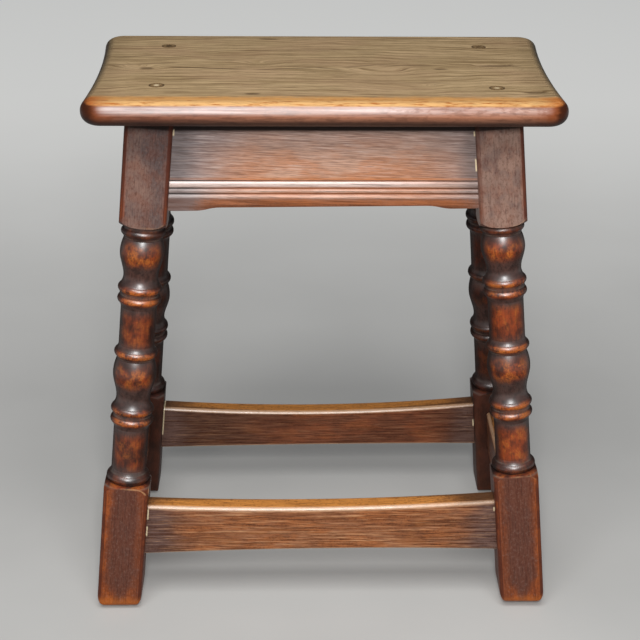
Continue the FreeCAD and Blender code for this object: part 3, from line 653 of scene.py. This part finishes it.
past_end = x.size() - END_MIDDLE - END_HOLLOW * (y / HALF_WIDTH) ** 2
line = follow.cloud((0.011, 0.36, 0.1), 4, 0.6, 3)
fine = follow.cloud((0.022, 1.1, 0.5), 3, 0.62, 8)
pore = follow.cloud((0.08, 2.4, 1.5), 2, 0.5, 13)
blotch = place.cloud((0.012, 0.02, 0.03), 3, 0.55, 21)
tuft = place.cloud((0.045, 0.5, 0.5), 3, 0.6, 91)

# The scrubbed top.
top_colour = (line * 0.6 + fine * 0.4).rise(0.38, 0.6).over(SEAT_PALE, SEAT_TAN)
top_colour = (blotch.rise(0.42, 0.62) * 0.45).over(top_colour, SEAT_PINK)
top_colour = (season.rise(0.42, 0.62) * 0.3).over(top_colour, SEAT_PALE)
top_colour = (latewood * line.rise(0.4, 0.6) * 0.4).over(top_colour, SEAT_LINE)
top_colour = (line.rise(0.54, 0.66) * 0.35).over(top_colour, SEAT_LINE)
top_colour = (fine.rise(0.5, 0.66) * 0.6).over(top_colour, SEAT_LINE)
top_colour = (around(-163, -5, 12, 4.5) * 0.6).over(top_colour, SEAT_PALE)
top_colour = (mark.least(1) * 0.8).over(top_colour, SEAT_MARK)
edge_end = (past_end + 12 * (blotch - 0.5)).rise(-33, 4)
top_colour = (edge_end * 0.4).over(top_colour, SEAT_GRIME)
edge_back = (y + 8 * (blotch - 0.5)).rise(86, 106)
top_colour = (edge_back * 0.25).over(top_colour, SEAT_GRIME)

# The honey front arris, redder at its ends, and the rims of the board's ends, painted dark as
# shade where they round off sideways, darkest towards the front corners.
front = (y + 9 * (speck - 0.5) + 9 * (tuft - 0.5)).rise(-82.0, -91.0)
colour = front.over(top_colour, SEAT_HONEY)
colour = ((y + 5 * (speck - 0.5)).rise(-92, -99) * 0.4).over(colour, HONEY_PALE)
colour = (front * tuft.rise(0.5, 0.62) * (0.3 + 0.6 * speck.rise(0.4, 0.6))).over(colour, SEAT_FLECK)
colour = (front * (x.size() + 14 * (speck - 0.5)).rise(164, 190) * 0.85).over(colour, SEAT_END)
colour = (front * x.rise(-166, -190) * 0.4).over(colour, SEAT_CORNER)
over_end = (past_end + 3 * (speck - 0.5)).rise(-10.0, -3.0)
toward_front = y.rise(-60, -92)
colour = (over_end * (1 - toward_front) * 0.75).over(colour, SEAT_RIM_SHADE)
colour = (over_end * toward_front * 0.75).over(colour, SEAT_END_SHADE)

# The waxed nose below the arris, painted dark as shade where it turns round the front corners
# and at the far left end.
sideways = facing_of(place)[0].size()
nose = (z + (tuft - 0.5)).rise(471.6, 470.0)
side_grain = place.cloud((0.012, 0.4, 0.4), 3, 0.55, 60)
nose_colour = side_grain.rise(0.3, 0.7).over(SEAT_NOSE, SEAT_NOSE_RED)
# Paler rose towards the middle and right: partly the nose's own colour, partly a painted sheen.
nose_colour = (x.rise(-130, -20) * 0.45).over(nose_colour, NOSE_ROSE_SHEEN)
nose_colour = (tuft.rise(0.5, 0.64) * 0.35).over(nose_colour, SEAT_NOSE_DARK)
nose_colour = (speck.rise(0.5, 0.64) * 0.25).over(nose_colour, SEAT_NOSE_DARK)
nose_colour = ((x.size() + 20 * (speck - 0.5)).rise(158, 184) * 0.9).over(nose_colour, SEAT_CORNER)
nose_colour = (over_end * (1 - toward_front)).over(nose_colour, SEAT_RIM_SHADE)
round_corner = (sideways + 0.5 * (speck - 0.5)).rise(0.12, 0.55) * toward_front
nose_colour = (round_corner * 0.9).over(nose_colour, SEAT_END_SHADE)
nose_colour = ((x + 10 * (speck - 0.5)).rise(-172, -188) * 0.45).over(nose_colour, SEAT_END_SHADE)
colour = nose.over(colour, nose_colour)
# The lower half of the nose, facing down, painted dark as shade.
colour = (z.rise(464, 456.5) * 0.85).over(colour, OAK_DARK)
colour = (pore.rise(0.56, 0.68) * (0.35 - 0.2 * nose)).over(colour, SEAT_NOSE_DARK)

roughness = 0.5 - 0.1 * front + 0.12 * (blotch - 0.5)
height = latewood * 0.2 + line * 0.5 + fine * 0.4 - pore.rise(0.54, 0.66) * 0.4
height = height - mark.least(1) * 0.5
wax = nose * (1 - 0.5 * x.rise(50, 110)) * past_end.rise(-12, -25)
wax = wax * (0.75 + 0.5 * side_grain.rise(0.62, 0.4))
wax = wax * (1 - 0.45 * x.rise(20, 80) * speck.rise(0.44, 0.6))
end_finish(shader, colour, roughness, height * (1 - 0.7 * nose), 0.22, wax, (0.54, 2.6))
put_on(material, "seat_board")


# Seat pegs
# Four round oak pegs driven down through the board into the legs, cut off flush. End grain shows,
# with a dark ring of dirt where peg meets board. The front two are rubbed bright in the middle.

PEG_RADIUS = 6.3
# Each peg's middle, how bright it is rubbed and how much grime fills its middle.
PEG_PLACES = {
    "front_left": (-136.2, -54.6, 1.0, 0.1),
    "front_right": (140.1, -60.1, 0.6, 0.0),
    "back_left": (-135.0, 64.9, 0.0, 0.8),
    "back_right": (138.9, 64.9, 0.0, 0.5),
}
PEG_BROWN = paint(112, 84, 50)
PEG_RIM = paint(52, 36, 24)
PEG_BRIGHT = paint(226, 205, 168)

for corner, (peg_x, peg_y, bright, grime) in PEG_PLACES.items():
    material, shader, place = begin_finish("end_grain_peg_" + corner)
    own = place.seen_from((peg_x, peg_y, 0))
    radius = own.spread((1, 1, 0)).length()
    grain = own.cloud((1.4, 0.5, 0.05), 3, 0.6, 5)
    sideways = own.parts()[0].size() / PEG_RADIUS
    colour = grain.rise(0.35, 0.7).over(PEG_BROWN, SEAT_TAN)
    rim = (radius + 1.2 * (grain - 0.5)).rise(3.2, 5.6)
    colour = (rim * (0.15 + 0.65 * sideways * sideways)).over(colour, PEG_RIM)
    colour = ((radius + 1.5 * (grain - 0.5)).rise(3.0, 1.2) * bright).over(colour, PEG_BRIGHT)
    colour = ((radius + 2.5 * (grain - 0.5)).rise(4.5, 2.0) * grime).over(colour, PEG_RIM)
    roughness = 0.45 + 0.2 * grain
    end_finish(shader, colour, roughness, grain, 0.2)
    put_on(material, "seat_peg_" + corner)


# Glides
# Pale plastic glides nailed under the feet to spare the floor. Moulded discs, scuffed and grimy
# from sliding about.

GLIDE_PALE = paint(214, 212, 204)
GLIDE_SCUFF = paint(120, 112, 100)
material, shader, place = begin_finish("scuffed_glide")
scuff = place.cloud((0.4, 0.4, 0.9), 4, 0.65, 12)
grit = place.cloud((1.8, 1.8, 1.8), 2, 0.5, 2)
colour = (scuff.rise(0.5, 0.75) * 0.7).over(GLIDE_PALE, GLIDE_SCUFF)
roughness = 0.5 + 0.3 * scuff
end_finish(shader, colour, roughness, grit, 0.08)
for corner in LEG_PLACES:
    put_on(material, "glide_" + corner)


# Glide nails
# Plain steel nails driven up through the glides into the feet. Their flat heads are sunk in the
# plastic and dulled by the floor, with a little rust.

NAIL_GREY = paint(150, 148, 146)
NAIL_RUST = paint(92, 60, 42)
material, shader, place = begin_finish("dull_nail_steel")
shader.inputs["Metallic"].default_value = 0.9
scratch = place.cloud((3.0, 0.4, 0.4), 3, 0.6, 4)
rust = place.cloud((0.8, 0.8, 0.8), 3, 0.6, 9)
colour = (rust.rise(0.5, 0.7) * 0.7).over(NAIL_GREY, NAIL_RUST)
roughness = 0.35 + 0.35 * rust
end_finish(shader, colour, roughness, scratch, 0.05)
for corner in LEG_PLACES:
    put_on(material, "glide_nail_" + corner)


# Studio
# A plain pale floor that brightens with distance, and a dim, even surround. A large soft light
# hangs above and in front of the stool, and a small lamp stands just above the camera.

FLOOR_REACH = 8.0
FLOOR_GREY = paint(184, 183, 180)
FLOOR_LIGHT = paint(191, 190, 187)
FLOOR_FAR = paint(238, 238, 236)
FLOOR_GLOW = paint(172, 172, 170)
BLACK = (0, 0, 0, 1)
bpy.ops.object.select_all(action="DESELECT")
bpy.ops.mesh.primitive_circle_add(
    vertices=64, radius=FLOOR_REACH, fill_type="NGON", location=(0, 0, 0)
)
floor = bpy.context.object
floor.name = "studio_floor"
material, shader, place = begin_finish("pale_studio_floor")
dapple = place.cloud((0.004, 0.004, 0.004), 3, 0.5, 6)
colour = dapple.rise(0.3, 0.7).over(FLOOR_GREY, FLOOR_LIGHT)
colour = place.length().rise(500, 2300).over(colour, FLOOR_FAR)

# A glow that the camera and reflections see, and that doesn't light the stool.
ray_kinds = ("Is Camera Ray", "Is Glossy Ray", "Is Transmission Ray")
rays = [place.node("LightPath", {}, {}, kind) for kind in ray_kinds]
seen = (rays[0] + rays[1] + rays[2]).least(1)
glow = (seen * (0.2 + 0.8 * place.parts()[1].rise(0, 1500))).over(BLACK, FLOOR_GLOW)
place.tree.links.new(glow.socket, shader.inputs["Emission Color"])
shader.inputs["Emission Strength"].default_value = 1
roughness = 0.75 + 0.1 * dapple
end_finish(shader, colour, roughness, dapple, 0.1)
floor.data.materials.append(material)

SURROUND = (0.08, 0.085, 0.092, 1)
world = bpy.data.worlds.new("dim_surround")
bpy.context.scene.world = world
world.use_nodes = True
world.node_tree.nodes["Background"].inputs["Color"].default_value = SURROUND


def soft_light(name, place, aim, size, watts):
    """A rectangular soft light that looks at a point."""
    lamp = bpy.data.lights.new(name, "AREA")
    lamp.shape = "RECTANGLE"
    lamp.size, lamp.size_y = size
    lamp.energy = watts
    held = bpy.data.objects.new(name, lamp)
    bpy.context.scene.collection.objects.link(held)
    held.location = place
    held.rotation_euler = (Vector(aim) - Vector(place)).to_track_quat("-Z", "Y").to_euler()


soft_light("overhead_softbox", (-0.08, -0.85, 1.70), (0, 0, 0.35), (1.3, 0.8), 19)
soft_light("front_lamp", (-0.02, -1.27, 1.04), (0, 0, 0.25), (0.22, 0.22), 11)


# Camera
# At the photograph's place and angle: 1.24 m in front of the stool's middle and 0.83 m up, a little
# left of it, looking 25.5 degrees down through a lens of 84.56 mm.

CAMERA_PLACE = Vector((-0.02425, -1.23972, 0.82714))
PITCH, YAW, ROLL = 0.445023, 0.018864, 0.008047
SENSOR_MM, LENS_MM = 36, 84.56
forward = Vector((
    math.sin(YAW) * math.cos(PITCH),
    math.cos(YAW) * math.cos(PITCH),
    -math.sin(PITCH),
))
level = Vector((math.cos(YAW), -math.sin(YAW), 0))
upright = level.cross(forward)
right = level * math.cos(ROLL) + upright * math.sin(ROLL)
top = upright * math.cos(ROLL) - level * math.sin(ROLL)
lens = bpy.data.cameras.new("photo_camera")
lens.sensor_width = SENSOR_MM
lens.lens = LENS_MM
camera = bpy.data.objects.new("photo_camera", lens)
bpy.context.scene.collection.objects.link(camera)
turn = Matrix((right, top, -forward)).transposed().to_4x4()
camera.matrix_world = Matrix.Translation(CAMERA_PLACE) @ turn
bpy.context.scene.camera = camera
bpy.context.scene.view_settings.view_transform = "Standard"
